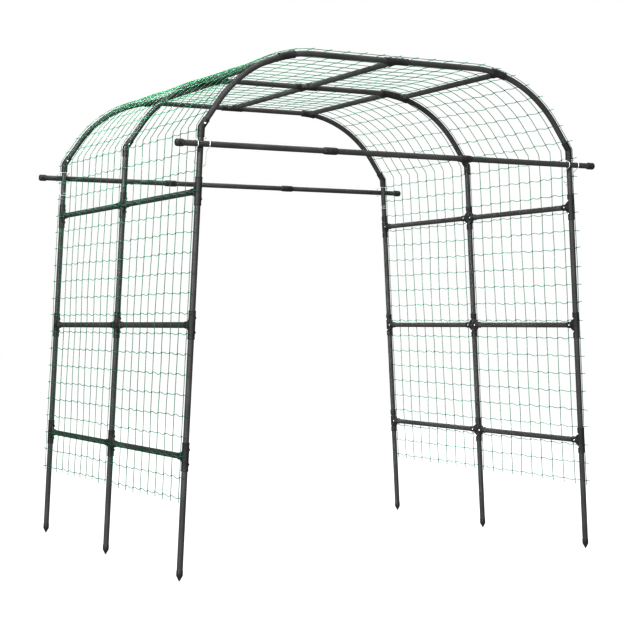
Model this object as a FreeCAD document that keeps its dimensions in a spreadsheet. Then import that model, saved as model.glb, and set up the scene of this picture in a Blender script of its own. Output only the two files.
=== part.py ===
import FreeCAD, Part
import math
import os
import Sketcher

# Walk-through garden arch: three ribs of steel tube, pushed together with moulded connectors,
# wall bars and purlins between the ribs, a crossbar clipped on at each end, and a net over it.
# X is the width, Y the way through (front at -Y), Z up; the stake points stand on Z = 0.

doc = FreeCAD.newDocument("trellis_arch")
Vector = FreeCAD.Vector
Placement = FreeCAD.Placement
Rotation = FreeCAD.Rotation

# ---------------------------------------------------------------- driving dimensions, in mm
DIMENSIONS = [
    ("rib_spacing", 875.0, "rib to rib, along the tunnel"),
    ("tube_radius", 12.5, "outside of every steel tube"),
    ("tube_bore", 11.9, "inside of every steel tube"),
    ("end_gap", 1.0, "half the gap between two tube ends inside a sleeve"),
    ("post_lean", 3.0, "lean of the posts towards the tunnel, degrees"),
    ("post_length", 1901.0, "stake point to the bend of the elbow, along the post"),
    ("level_low", 516.0, "lowest wall bar, along the post"),
    ("level_mid", 1067.5, "middle wall bar"),
    ("level_high", 1630.0, "highest wall bar"),
    ("shoulder_angle", 55.2, "slope of the shoulder tube's straight leg, degrees"),
    ("shoulder_straight", 133.0, "elbow bend to the start of the shoulder curve"),
    ("shoulder_radius", 559.0, "curve between the shoulder's leg and the flat roof"),
    ("joint_angle", 9.0, "where on that curve the roof tube meets the shoulder tube, degrees"),
    ("roof_half_flat", 418.0, "ridge to the start of the curve"),
    ("spigot_radius", 11.8, "drawn-down end of the shoulder tube, inside the roof tube"),
    ("spigot_bore", 11.2, "inside of that end"),
    ("spigot_length", 40.0, "its length"),
    ("sleeve_radius", 15.0, "outside of a wall or ridge connector's sleeve"),
    ("sleeve_bore", 12.55, "inside of a sleeve"),
    ("socket_radius", 14.7, "outside of a connector's side socket"),
    ("run_half", 60.0, "half the length of a wall connector's sleeve"),
    ("branch_reach", 60.0, "post axis to the mouth of a side socket"),
    ("branch_floor", 13.6, "post axis to the bottom of a side socket"),
    ("web_half", 7.0, "half the thickness of the web between sleeve and socket"),
    ("web_foot", 40.0, "half height of the web on the sleeve's axis"),
    ("web_reach", 37.0, "how far the web runs out along the socket"),
    ("web_inset", 1.0, "how far the web's tip lies inside the socket's outline"),
    ("boss_radius", 6.2, "screw boss"),
    ("boss_height", 17.0, "tube axis to the top of a screw boss"),
    ("boss_offset", 31.0, "middle of a connector to each screw"),
    ("screw_radius", 2.0, "screw shank"),
    ("screw_hole", 2.05, "hole in the boss"),
    ("head_radius", 4.5, "screw head"),
    ("head_crown", 3.3, "top of the head, where its edge is rounded off"),
    ("head_height", 2.4, "screw head height"),
    ("elbow_leg", 42.0, "length of each leg of the elbow"),
    ("elbow_gap", 5.0, "elbow bend to each tube end"),
    ("elbow_boss", 18.0, "elbow bend to its screw"),
    ("knee_half_angle", 3.9, "half the length of a short tee on the roof curve, degrees"),
    ("rear_knee_angle", 5.4, "place of the rear bay's tees on the roof curve, degrees"),
    ("front_knee_angle", 13.7, "place of the front bay's tees on the roof curve, degrees"),
    ("knee_reach", 42.0, "roof axis to the mouth of a short tee's socket"),
    ("knee_radius", 16.8, "outside of a short tee's sleeve"),
    ("tip_radius", 13.5, "collar of the stake point"),
    ("tip_collar", 23.0, "height of that collar"),
    ("tip_cone", 21.0, "height of the cone under it"),
    ("tip_flat", 2.5, "radius of the blunt end"),
    ("tip_floor", 3.0, "plastic between the cone and the tube's end"),
    ("bar_level", 1827.5, "crossbar, along the post"),
    ("bar_offset", 25.1, "post axis to crossbar axis, along Y"),
    ("bar_half", 1081.0, "half the length of the crossbar over its caps"),
    ("bar_joint", 350.0, "middle of the arch to each crossbar sleeve"),
    ("bar_sleeve", 67.0, "length of a crossbar sleeve"),
    ("bar_sleeve_radius", 15.8, "outside of crossbar sleeves and end caps"),
    ("cap_length", 34.0, "crossbar end cap"),
    ("cap_wall", 4.0, "thickness of its closed end"),
    ("cap_round", 6.75, "rounding of that end"),
    ("wire_radius", 1.5, "spring wire of the clips"),
    ("net_gap", 20.2, "tube axis to the inside of the net"),
    ("net_thickness", 2.5, "room that the net's cords take"),
    ("net_half_depth", 884.0, "half the net's width, along Y"),
    ("net_bottom_right", 320.0, "height of the net's right edge"),
    ("net_bottom_left", 346.0, "height of the net's left edge"),
]

sheet = doc.addObject("Spreadsheet::Sheet", "Dimensions")
for row, (alias, value, note) in enumerate(DIMENSIONS, start=1):
    sheet.set(f"A{row}", note)
    sheet.set(f"B{row}", str(value))
    sheet.setAlias(f"B{row}", alias)
doc.recompute()


def size(alias):
    """A driving dimension as a number."""
    return float(getattr(sheet, alias))


def bind(item, **sizes):
    """Bind properties of an object to formulas written in the sheet's aliases, marked with @."""
    for prop, formula in sizes.items():
        item.setExpression(prop, str(formula).replace("@", "Dimensions."))


# ---------------------------------------------------------------- the rib's line and its frames
LEAN = math.radians(size("post_lean"))
SLOPE = math.radians(size("shoulder_angle"))
CURVE_X = size("roof_half_flat")
ELBOW_X = (CURVE_X + size("shoulder_radius") * math.sin(SLOPE)
           + size("shoulder_straight") * math.cos(SLOPE))
FOOT_X = ELBOW_X + size("post_length") * math.sin(LEAN)
FOOT_Z = size("tip_flat") * math.sin(LEAN)
ELBOW_Z = FOOT_Z + size("post_length") * math.cos(LEAN)
ROOF_Z = (ELBOW_Z + size("shoulder_straight") * math.sin(SLOPE)
          + size("shoulder_radius") * (1 - math.cos(SLOPE)))
CURVE_Z = ROOF_Z - size("shoulder_radius")

# How far cutting tools run past the faces they open: mm, and degrees round the roof curve.
OVERRUN = 1.0
OVERTURN = 0.2

SIDES = {"left": -1, "right": 1}
RIBS = {"front": -1, "middle": 0, "rear": 1}


def rib_y(rib):
    """Y of a rib's plane."""
    return RIBS[rib] * size("rib_spacing")


def frame_at(origin, x_axis, z_axis):
    """Placement with the given origin and directions of its own X and Z."""
    return Placement(origin, Rotation(x_axis, z_axis.cross(x_axis), z_axis, "ZXY"))


def post_frame(side, rib, along):
    """On a post: Z up along it, X towards the tunnel."""
    hand = SIDES[side]
    up = Vector(-hand * math.sin(LEAN), 0, math.cos(LEAN))
    foot = Vector(hand * FOOT_X, rib_y(rib), FOOT_Z)
    return frame_at(foot + up * along, Vector(-hand * math.cos(LEAN), 0, -math.sin(LEAN)), up)


def shoulder_frame(side, rib):
    """At the elbow's bend: Z up along the shoulder's straight leg, X towards the tunnel."""
    hand = SIDES[side]
    up = Vector(-hand * math.cos(SLOPE), 0, math.sin(SLOPE))
    corner = Vector(hand * ELBOW_X, rib_y(rib), ELBOW_Z)
    return frame_at(corner, Vector(-hand * math.sin(SLOPE), 0, -math.cos(SLOPE)), up)


def curve_frame(side, rib, degrees):
    """At the centre of the roof curve: X out through the tube at that angle, Z along the tunnel."""
    hand = SIDES[side]
    angle = math.radians(degrees)
    centre = Vector(hand * CURVE_X, rib_y(rib), CURVE_Z)
    return frame_at(centre, Vector(hand * math.sin(angle), 0, math.cos(angle)), Vector(0, hand, 0))


# ---------------------------------------------------------------- building blocks
nodes = []


def keep(item, label):
    """Make an object a sub-part: its label names its file."""
    item.Label = label
    nodes.append(item)
    return item


def group(label, members):
    """A sub-part made of several separate like pieces."""
    item = doc.addObject("Part::Compound", "group_" + label)
    item.Links = members
    return keep(item, label)


def cylinder(radius, height, spot=Placement()):
    """Part cylinder along its own Z, bound to the sheet."""
    item = doc.addObject("Part::Cylinder", "cylinder")
    item.Placement = spot
    bind(item, Radius=radius, Height=height)
    return item


def bend(radius, angle, spot=Placement()):
    """Round bar along the roof curve, turning by angle from its own X."""
    item = doc.addObject("Part::Torus", "bend")
    item.Placement = spot
    bind(item, Radius1="@shoulder_radius", Radius2=radius, Angle3=angle)
    return item


def fuse(members):
    """Join solids into one."""
    item = doc.addObject("Part::MultiFuse", "join")
    item.Shapes = members
    return item


def cut(base, tools, name, spot=Placement()):
    """Take tools away from base, then put the result in its place."""
    item = doc.addObject("Part::Cut", name)
    item.Base = base
    item.Tool = fuse(tools) if len(tools) > 1 else tools[0]
    item.Placement = spot
    return item


def along_y(sign, start=0.0):
    """Placement of a cylinder that runs along +Y or -Y, from start."""
    return Placement(Vector(0, sign * start, 0), Rotation(Vector(1, 0, 0), -90 * sign))


def along_x(y=0.0, z=0.0, start=0.0):
    """Placement of a cylinder that runs along +X, from start."""
    return Placement(Vector(start, y, z), Rotation(Vector(0, 1, 0), 90))


def tube(name, length, spot):
    """Straight steel tube: a ring sketch padded to its length."""
    body = doc.addObject("PartDesign::Body", name)
    sketch = body.newObject("Sketcher::SketchObject", "section_" + name)
    ground = next(f for f in body.Origin.OriginFeatures if f.Role == "XY_Plane")
    sketch.AttachmentSupport = [(ground, "")]
    sketch.MapMode = "FlatFace"
    for number, alias in enumerate(("tube_radius", "tube_bore")):
        circle = Part.Circle(Vector(0, 0, 0), Vector(0, 0, 1), size(alias))
        sketch.addGeometry(circle, False)
        sketch.addConstraint(Sketcher.Constraint("Coincident", number, 3, -1, 1))
        radius = sketch.addConstraint(Sketcher.Constraint("Radius", number, size(alias)))
        sketch.renameConstraint(radius, alias)
        sketch.setExpression("Constraints." + alias, "Dimensions." + alias)
    pad = body.newObject("PartDesign::Pad", "pad_" + name)
    pad.Profile = sketch
    bind(pad, Length=length)
    body.Placement = spot
    return body


# ---------------------------------------------------------------- moulded connectors and screws
def screw(spot):
    """Pan-head screw: a shank under a head with a rounded edge, pointing down its own Z."""
    shank = cylinder("@screw_radius", "@boss_height - @sleeve_bore",
                     Placement(Vector(0, 0, size("sleeve_bore") - size("boss_height")), Rotation()))
    head = doc.addObject("Part::Cone", "head")
    bind(head, Radius1="@head_radius", Radius2="@head_crown", Height="@head_height")
    item = fuse([shank, head])
    item.Placement = spot
    return item


def screw_spots(arms, levels):
    """Places of a connector's bosses: on each socket, and on the sleeve at each level."""
    offset = size("boss_offset")
    return [(arm * offset, 0.0) for arm in arms] + [(0.0, level * offset) for level in levels]


def connector(name, arms, spot):
    """Sleeve along Z with a socket along Y for each arm, webs between them, bosses facing X."""
    parts = [cylinder("@sleeve_radius", "2 * @run_half",
                      Placement(Vector(0, 0, -size("run_half")), Rotation()))]
    holes = [cylinder("@sleeve_bore", f"2 * @run_half + {2 * OVERRUN}",
                      Placement(Vector(0, 0, -size("run_half") - OVERRUN), Rotation()))]
    for arm in arms:
        parts.append(cylinder("@socket_radius", "@branch_reach", along_y(arm)))
        holes.append(cylinder("@sleeve_bore", "@branch_reach",
                              along_y(arm, size("branch_floor"))))
        web = doc.addObject("Part::Wedge", "web")
        bind(web, Xmin="-@web_half", Xmax="@web_half", X2min="-@web_half", X2max="@web_half",
             Ymin="0", Ymax="@web_reach", Zmin="-@web_foot", Zmax="@web_foot",
             Z2min="-@socket_radius + @web_inset", Z2max="@socket_radius - @web_inset")
        web.Placement = Placement(Vector(), Rotation(Vector(1, 0, 0), 0 if arm > 0 else 180))
        parts.append(web)
    for y, z in screw_spots(arms, (-1, 1)):
        parts.append(cylinder("@boss_radius", "@boss_height", along_x(y, z)))
        holes.append(cylinder("@screw_hole", "@boss_height", along_x(y, z, OVERRUN)))
    return cut(fuse(parts), holes, name, spot)


def connector_screws(arms, spot):
    """The screws of one connector, heads seated on the bosses."""
    seat = size("boss_height")
    return [screw(spot.multiply(along_x(y, z, seat))) for y, z in screw_spots(arms, (-1, 1))]


def elbow(name, spot):
    """Bent sleeve: one leg up the shoulder tube, one down the post, one boss on the upper leg."""
    turn = 90 - size("shoulder_angle") - size("post_lean")
    down = Rotation(Vector(0, 1, 0), 180 - turn)
    ball = doc.addObject("Part::Sphere", "ball")
    bind(ball, Radius="@sleeve_radius")
    hollow = doc.addObject("Part::Sphere", "hollow")
    bind(hollow, Radius="@sleeve_bore")
    aside = Rotation(Vector(1, 0, 0), 90)
    parts = [
        cylinder("@sleeve_radius", "@elbow_leg"),
        cylinder("@sleeve_radius", "@elbow_leg", Placement(Vector(), down)),
        ball,
        cylinder("@boss_radius", "@boss_height",
                 Placement(Vector(0, 0, size("elbow_boss")), aside)),
    ]
    holes = [
        cylinder("@sleeve_bore", f"@elbow_leg + {OVERRUN}"),
        cylinder("@sleeve_bore", f"@elbow_leg + {OVERRUN}", Placement(Vector(), down)),
        hollow,
        cylinder("@screw_hole", "@boss_height",
                 Placement(Vector(0, -OVERRUN, size("elbow_boss")), aside)),
    ]
    return cut(fuse(parts), holes, name, spot)


def elbow_screw(spot):
    """The elbow's screw, on the side of its own -Y."""
    seat = Vector(0, -size("boss_height"), size("elbow_boss"))
    return screw(spot.multiply(Placement(seat, Rotation(Vector(1, 0, 0), 90))))


def knee_socket(arm, start=0.0):
    """Placement of a socket at the roof curve, along the tunnel's +Y or -Y."""
    return Placement(Vector(size("shoulder_radius"), 0, arm * start),
                     Rotation(Vector(1, 0, 0), 0 if arm > 0 else 180))


def knee_tee(name, arm, spot):
    """Short tee whose sleeve follows the roof curve, with one boss on top."""
    back = Placement(Vector(), Rotation(Vector(0, 0, 1), -size("knee_half_angle")))
    long_back = Placement(Vector(), Rotation(Vector(0, 0, 1), -size("knee_half_angle") - OVERTURN))
    parts = [
        bend("@knee_radius", "2 * @knee_half_angle", back),
        cylinder("@socket_radius", "@knee_reach", knee_socket(arm)),
        cylinder("@boss_radius", "@boss_height", along_x(0, 0, size("shoulder_radius"))),
    ]
    holes = [
        bend("@sleeve_bore", f"2 * @knee_half_angle + {2 * OVERTURN}", long_back),
        cylinder("@sleeve_bore", "@knee_reach", knee_socket(arm, size("branch_floor"))),
        cylinder("@screw_hole", "@boss_height", along_x(0, 0, size("shoulder_radius") + OVERRUN)),
    ]
    return cut(fuse(parts), holes, name, spot)


def knee_screw(spot):
    """The screw on top of a short tee."""
    return screw(spot.multiply(along_x(0, 0, size("shoulder_radius") + size("boss_height"))))


# ---------------------------------------------------------------- the posts
screws = []
wall_connectors = {"tee": {"left": [], "right": []}, "cross": {"left": [], "right": []}}
LEVELS = ("level_low", "level_mid", "level_high")
INTO_BAY = {"front": (1,), "middle": (-1, 1), "rear": (-1,)}

for rib in RIBS:
    for side, hand in SIDES.items():
        post = f"{rib}_{side}"

        # Moulded stake point: a collar over the tube's end and a blunt cone under it.
        tip_height = "@tip_cone + @tip_collar"
        cone = doc.addObject("Part::Cone", "cone_" + post)
        bind(cone, Radius1="@tip_flat", Radius2="@tip_radius", Height="@tip_cone")
        collar = cylinder("@tip_radius", "@tip_collar",
                          Placement(Vector(0, 0, size("tip_cone")), Rotation()))
        socket_floor = size("tip_cone") + size("tip_floor")
        socket = cylinder("@sleeve_bore", "@tip_collar",
                          Placement(Vector(0, 0, socket_floor), Rotation()))
        keep(cut(fuse([cone, collar]), [socket], "tip_" + post, post_frame(side, rib, 0)),
             f"stake_tip_{post}")

        # Ground post: from the stake point to the lowest connector.
        keep(tube("ground_" + post, "@level_low - @tip_cone - @tip_floor - @end_gap",
                  post_frame(side, rib, socket_floor)), f"ground_post_{post}")

        # The three tubes above it.
        gap = size("end_gap")
        uppers = [
            tube("lower_" + post, "@level_mid - @level_low - 2 * @end_gap",
                 post_frame(side, rib, size("level_low") + gap)),
            tube("upper_" + post, "@level_high - @level_mid - 2 * @end_gap",
                 post_frame(side, rib, size("level_mid") + gap)),
            tube("top_" + post, "@post_length - @level_high - @end_gap - @elbow_gap",
                 post_frame(side, rib, size("level_high") + gap)),
        ]
        group(f"post_tubes_{post}", uppers)

        # A connector at each bar: its own Y points to -Y on the right-hand posts.
        arms = tuple(-hand * arm for arm in INTO_BAY[rib])
        kind = "cross" if rib == "middle" else "tee"
        for level in LEVELS:
            spot = post_frame(side, rib, size(level))
            wall_connectors[kind][side].append(connector(f"{kind}_{post}_{level}", arms, spot))
            screws += connector_screws(arms, spot)

        # The elbow is one moulding: its boss shows at the front on the left and at the rear on
        # the right.
        spot = shoulder_frame(side, rib)
        keep(elbow("elbow_" + post, spot), f"elbow_{post}")
        screws.append(elbow_screw(spot))

for kind, by_side in wall_connectors.items():
    for side, members in by_side.items():
        group(f"wall_{kind}s_{side}" if kind == "tee" else f"wall_crosses_{side}", members)

# ---------------------------------------------------------------- shoulders, roof and ridge
for rib in RIBS:
    for side in SIDES:
        post = f"{rib}_{side}"

        # Shoulder tube: a straight leg out of the elbow, the curve, and a drawn-down end.
        leg = Placement(Vector(0, 0, size("elbow_gap")), Rotation())
        leg_spot = shoulder_frame(side, rib).multiply(leg)
        start = curve_frame(side, rib, size("joint_angle"))
        turn = "@shoulder_angle - @joint_angle"
        tip_back = -math.degrees(size("spigot_length") / size("shoulder_radius"))
        spigot_turn = "@spigot_length / @shoulder_radius * 180 / pi"
        spigot_start = curve_frame(side, rib, size("joint_angle") + tip_back)
        outer = [
            cylinder("@tube_radius", "@shoulder_straight - @elbow_gap", leg_spot),
            bend("@tube_radius", turn, start),
            bend("@spigot_radius", spigot_turn, spigot_start),
        ]
        inner = [
            cylinder("@tube_bore", f"@shoulder_straight - @elbow_gap + {OVERRUN}",
                     leg_spot.multiply(Placement(Vector(0, 0, -OVERRUN), Rotation()))),
            bend("@tube_bore", f"{turn} - {OVERTURN}",
                 curve_frame(side, rib, size("joint_angle") + OVERTURN)),
            bend("@spigot_bore", "@shoulder_angle", curve_frame(side, rib, 0)),
        ]
        keep(cut(fuse(outer), inner, "shoulder_" + post), f"shoulder_tube_{post}")

        # Roof tube: from the ridge connector out to the joint, just over the start of the curve.
        hand = SIDES[side]
        ridge = frame_at(Vector(hand * size("end_gap"), rib_y(rib), ROOF_Z),
                         Vector(0, 0, 1), Vector(hand, 0, 0))
        outer = [
            cylinder("@tube_radius", "@roof_half_flat - @end_gap", ridge),
            bend("@tube_radius", "@joint_angle", curve_frame(side, rib, 0)),
        ]
        inner = [
            cylinder("@tube_bore", f"@roof_half_flat - @end_gap + {OVERRUN}",
                     ridge.multiply(Placement(Vector(0, 0, -OVERRUN), Rotation()))),
            bend("@tube_bore", f"@joint_angle + {OVERTURN}", curve_frame(side, rib, 0)),
        ]
        keep(cut(fuse(outer), inner, "roof_" + post), f"roof_tube_{post}")

# Ridge connectors, screws on top. Their own Y points to the front.
for rib in RIBS:
    arms = tuple(-arm for arm in INTO_BAY[rib])
    spot = frame_at(Vector(0, rib_y(rib), ROOF_Z), Vector(0, 0, 1), Vector(1, 0, 0))
    kind = "cross" if rib == "middle" else "tee"
    keep(connector("ridge_" + rib, arms, spot), f"ridge_{kind}_{rib}")
    screws += connector_screws(arms, spot)

# Short tees on the roof curve: the two bays' purlins are a sleeve's length apart.
KNEES = {
    "front": [("front_knee_angle", 1)],
    "middle": [("front_knee_angle", -1), ("rear_knee_angle", 1)],
    "rear": [("rear_knee_angle", -1)],
}
for rib, tees in KNEES.items():
    members = []
    for side, hand in SIDES.items():
        for angle, arm in tees:
            spot = curve_frame(side, rib, size(angle))
            members.append(knee_tee(f"knee_{rib}_{side}_{angle}", arm * hand, spot))
            screws.append(knee_screw(spot))
    group(f"knee_tees_{rib}", members)

# ---------------------------------------------------------------- wall bars and purlins
BAYS = {"front": "front", "rear": "middle"}
BAR_LENGTH = "@rib_spacing - 2 * @branch_floor - 2 * @end_gap"
BAR_START = size("branch_floor") + size("end_gap")


def along_tunnel(origin):
    """A tube from this point towards the rear."""
    return frame_at(origin, Vector(1, 0, 0), Vector(0, 1, 0))


for bay, first_rib in BAYS.items():
    start = Vector(0, BAR_START, 0)
    for side in SIDES:
        bars = []
        for level in LEVELS:
            base = post_frame(side, first_rib, size(level)).Base
            bars.append(tube(f"bar_{bay}_{side}_{level}", BAR_LENGTH, along_tunnel(base + start)))
        group(f"wall_bars_{bay}_{side}", bars)
    knee = "front_knee_angle" if bay == "front" else "rear_knee_angle"
    ridge = Vector(0, rib_y(first_rib), ROOF_Z)
    purlins = [tube(f"purlin_{bay}_ridge", BAR_LENGTH, along_tunnel(ridge + start))]
    for side in SIDES:
        out = curve_frame(side, first_rib, size(knee))
        base = out.multVec(Vector(size("shoulder_radius"), 0, 0))
        purlins.append(tube(f"purlin_{bay}_{side}", BAR_LENGTH, along_tunnel(base + start)))
    group(f"roof_purlins_{bay}", purlins)

# ---------------------------------------------------------------- crossbars
BAR_Z = FOOT_Z + size("bar_level") * math.cos(LEAN)
ENDS = {"front": -1, "rear": 1}
sleeves = []
caps = []


def across(x, end):
    """On a crossbar: its own Z along +X."""
    y = ENDS[end] * (size("rib_spacing") + size("bar_offset"))
    return frame_at(Vector(x, y, BAR_Z), Vector(0, 0, 1), Vector(1, 0, 0))


for end in ENDS:
    half_sleeve = size("bar_sleeve") / 2
    cap_floor = size("bar_half") - size("cap_wall")
    outer_length = "@bar_half - @cap_wall - @bar_joint - @end_gap"
    group(f"crossbar_{end}", [
        tube(f"crossbar_{end}_left", outer_length, across(-cap_floor, end)),
        tube(f"crossbar_{end}_centre", "2 * @bar_joint - 2 * @end_gap",
             across(size("end_gap") - size("bar_joint"), end)),
        tube(f"crossbar_{end}_right", outer_length,
             across(size("bar_joint") + size("end_gap"), end)),
    ])
    for side, hand in SIDES.items():
        middle = hand * size("bar_joint")
        sleeves.append(cut(cylinder("@bar_sleeve_radius", "@bar_sleeve"),
                           [cylinder("@sleeve_bore", "@bar_sleeve")],
                           f"bar_sleeve_{end}_{side}", across(middle - half_sleeve, end)))

        # End cap: a plastic cup with a rounded end.
        turned = Placement(Vector(), Rotation(Vector(1, 0, 0), 0 if hand > 0 else 180))
        mouth = across(hand * (size("bar_half") - size("cap_length")), end).multiply(turned)
        barrel = cylinder("@bar_sleeve_radius", "@cap_length")
        rounding = doc.addObject("Part::Fillet", f"rounded_{end}_{side}")
        rounding.Base = barrel
        doc.recompute()
        rim = next(number for number, edge in enumerate(barrel.Shape.Edges, start=1)
                   if len(edge.Vertexes) == 1 and edge.CenterOfMass.z > size("cap_wall"))
        rounding.Edges = [(rim, size("cap_round"), size("cap_round"))]
        caps.append(cut(rounding, [cylinder("@sleeve_bore", "@cap_length - @cap_wall")],
                        f"cap_{end}_{side}", mouth))
group("crossbar_sleeves", sleeves)
group("crossbar_end_caps", caps)

# ---------------------------------------------------------------- spring wire clips
WIRE_GAP = 0.4
POST_CLEAR = size("tube_radius") + size("wire_radius") + WIRE_GAP
BAR_CLEAR = size("bar_offset") + POST_CLEAR
# Half of a clip, in mm from the point on the post's axis at the crossbar's height: X across,
# Y out to the bar, Z up. The wire starts in a hook behind the post, runs up beside it, out over the bar
# and back to the U-bend behind the post.
LEG = 27.0
HOOK_LEVELS = (-79.0, -91.0)
HOOK_END = 12.0
HOOK_CORNER = 21.5
HOOK_RISE = 12.0
LEG_BACK = 4.3
BULGE = 9.0
UPPER_BEND = 28.0
UPPER_BACK = 2.0
LOWER_BEND = -30.0
WIRE_BEND = 6.0


def clip_half(hook_level, leg_sign):
    """Points from the hook's end to the top of the leg."""
    leg = leg_sign * LEG
    return [
        Vector(-leg_sign * HOOK_END, -POST_CLEAR, hook_level),
        Vector(leg_sign * HOOK_CORNER, -POST_CLEAR, hook_level),
        Vector(leg, -LEG_BACK, hook_level + HOOK_RISE),
        Vector(leg, 0, LOWER_BEND),
        Vector(leg, BAR_CLEAR, -BULGE),
        Vector(leg, BAR_CLEAR, BULGE),
        Vector(leg, -UPPER_BACK, UPPER_BEND),
        Vector(leg, -POST_CLEAR, UPPER_BEND),
    ]


def bent_wire(points, radius, bend_radius, name, spot):
    """Round wire along straight runs joined by tangent arcs."""
    edges = []
    last = points[0]
    for before, corner, after in zip(points, points[1:], points[2:]):
        back = (before - corner).normalize()
        on = (after - corner).normalize()
        half = back.getAngle(on) / 2
        trim = min(bend_radius / math.tan(half),
                   0.45 * min((before - corner).Length, (after - corner).Length))
        first = corner + back * trim
        second = corner + on * trim
        toward = (back + on).normalize()
        reach = trim / math.cos(half) - trim * math.tan(half)
        edges.append(Part.LineSegment(last, first).toShape())
        edges.append(Part.Arc(first, corner + toward * reach, second).toShape())
        last = second
    edges.append(Part.LineSegment(last, points[-1]).toShape())
    path = Part.Wire(edges)
    section = Part.Wire(Part.makeCircle(radius, points[0], points[1] - points[0]))
    item = doc.addObject("Part::Feature", name)
    item.Shape = path.makePipeShell([section], True, False)
    item.Placement = spot
    return item


clips = []
for end, outward in ENDS.items():
    for side in SIDES:
        x = SIDES[side] * (FOOT_X - size("bar_level") * math.sin(LEAN))
        spot = frame_at(Vector(x, outward * size("rib_spacing"), BAR_Z),
                        Vector(outward, 0, 0), Vector(0, 0, 1))
        halves = (clip_half(HOOK_LEVELS[0], 1), clip_half(HOOK_LEVELS[1], -1))
        clips.append(bent_wire(halves[0] + halves[1][::-1], size("wire_radius"), WIRE_BEND,
                               f"clip_{end}_{side}", spot))
group("wire_clips", clips)
group("connector_screws", screws)


# ---------------------------------------------------------------- the net's place
def net_corner(hand, offset):
    """Where the net turns over the elbow, at this distance outside the tubes."""
    lower = math.pi / 2 - LEAN
    half = (lower - SLOPE) / 2
    direction = (lower + SLOPE) / 2
    reach = offset / math.cos(half)
    return Vector(hand * (ELBOW_X + reach * math.sin(direction)),
                  0, ELBOW_Z + reach * math.cos(direction))


def net_side(hand, offset, bottom):
    """Post line, elbow corner and both ends of the curve, at this distance outside."""
    radius = size("shoulder_radius") + offset
    foot = Vector(hand * (FOOT_X + offset / math.cos(LEAN)
                          - (bottom - FOOT_Z) * math.tan(LEAN)), 0, bottom)
    low = Vector(hand * (CURVE_X + radius * math.sin(SLOPE)), 0,
                 CURVE_Z + radius * math.cos(SLOPE))
    mid = Vector(hand * (CURVE_X + radius * math.sin(SLOPE / 2)), 0,
                 CURVE_Z + radius * math.cos(SLOPE / 2))
    high = Vector(hand * CURVE_X, 0, CURVE_Z + radius)
    return foot, net_corner(hand, offset), low, mid, high


def net_line(offset):
    """Edges of the whole arch from the left edge over the roof to the right edge."""
    foot_l, corner_l, low_l, mid_l, high_l = net_side(-1, offset, size("net_bottom_left"))
    foot_r, corner_r, low_r, mid_r, high_r = net_side(1, offset, size("net_bottom_right"))
    edges = [
        Part.LineSegment(foot_l, corner_l),
        Part.LineSegment(corner_l, low_l),
        Part.Arc(low_l, mid_l, high_l),
        Part.LineSegment(high_l, high_r),
        Part.Arc(high_r, mid_r, low_r),
        Part.LineSegment(low_r, corner_r),
        Part.LineSegment(corner_r, foot_r),
    ]
    return [edge.toShape() for edge in edges], foot_l, foot_r


inner_edges, inner_left, inner_right = net_line(size("net_gap"))
outer_edges, outer_left, outer_right = net_line(size("net_gap") + size("net_thickness"))
ends = [Part.LineSegment(inner_left, outer_left).toShape(),
        Part.LineSegment(inner_right, outer_right).toShape()]
outline = Part.Wire(Part.__sortEdges__(inner_edges + outer_edges + ends))
sheet_section = doc.addObject("Part::Feature", "net_section")
sheet_section.Shape = Part.Face(outline)
net_slab = doc.addObject("Part::Extrusion", "net_slab")
net_slab.Base = sheet_section
net_slab.DirMode = "Custom"
net_slab.Dir = Vector(0, 1, 0)
net_slab.Symmetric = True
net_slab.Solid = True
bind(net_slab, LengthFwd="2 * @net_half_depth")

# The net parts round the four clips.
NOTCH_MARGIN = 6.0
NOTCH_WIDTH = 120.0
NOTCH_DEPTH = 60.0
notches = []
for outward in ENDS.values():
    for hand in SIDES.values():
        notch = doc.addObject("Part::Box", "notch")
        notch.Length = NOTCH_WIDTH
        notch.Width = NOTCH_DEPTH
        notch.Height = UPPER_BEND - HOOK_LEVELS[1] + 2 * NOTCH_MARGIN
        near = size("rib_spacing") - POST_CLEAR - NOTCH_MARGIN
        notch.Placement.Base = Vector(hand * ELBOW_X - NOTCH_WIDTH / 2,
                                      near if outward > 0 else -near - NOTCH_DEPTH,
                                      BAR_Z + HOOK_LEVELS[1] - NOTCH_MARGIN)
        notches.append(notch)
keep(cut(net_slab, notches, "net"), "netting")

# ---------------------------------------------------------------- check and write
doc.recompute()
faults = [item.Name for item in doc.Objects
          if "Invalid" in item.State or "Error" in item.State]
for item in nodes:
    if item.Shape.isNull() or not item.Shape.isValid():
        faults.append(item.Label)
if faults:
    raise RuntimeError("these objects did not build: " + ", ".join(faults))

os.makedirs("parts", exist_ok=True)
for item in nodes:
    item.Shape.exportStep(os.path.join("parts", item.Label + ".step"))
print(len(nodes), "sub-parts,", sum(len(item.Shape.Solids) for item in nodes), "solids")
print("roof axis at", round(ROOF_Z, 1), "elbow at", round(ELBOW_X, 1), round(ELBOW_Z, 1),
      "foot at", round(FOOT_X, 1), "crossbar at", round(BAR_Z, 1))
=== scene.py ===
import math
import bpy
from mathutils import Matrix, Vector, noise


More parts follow.
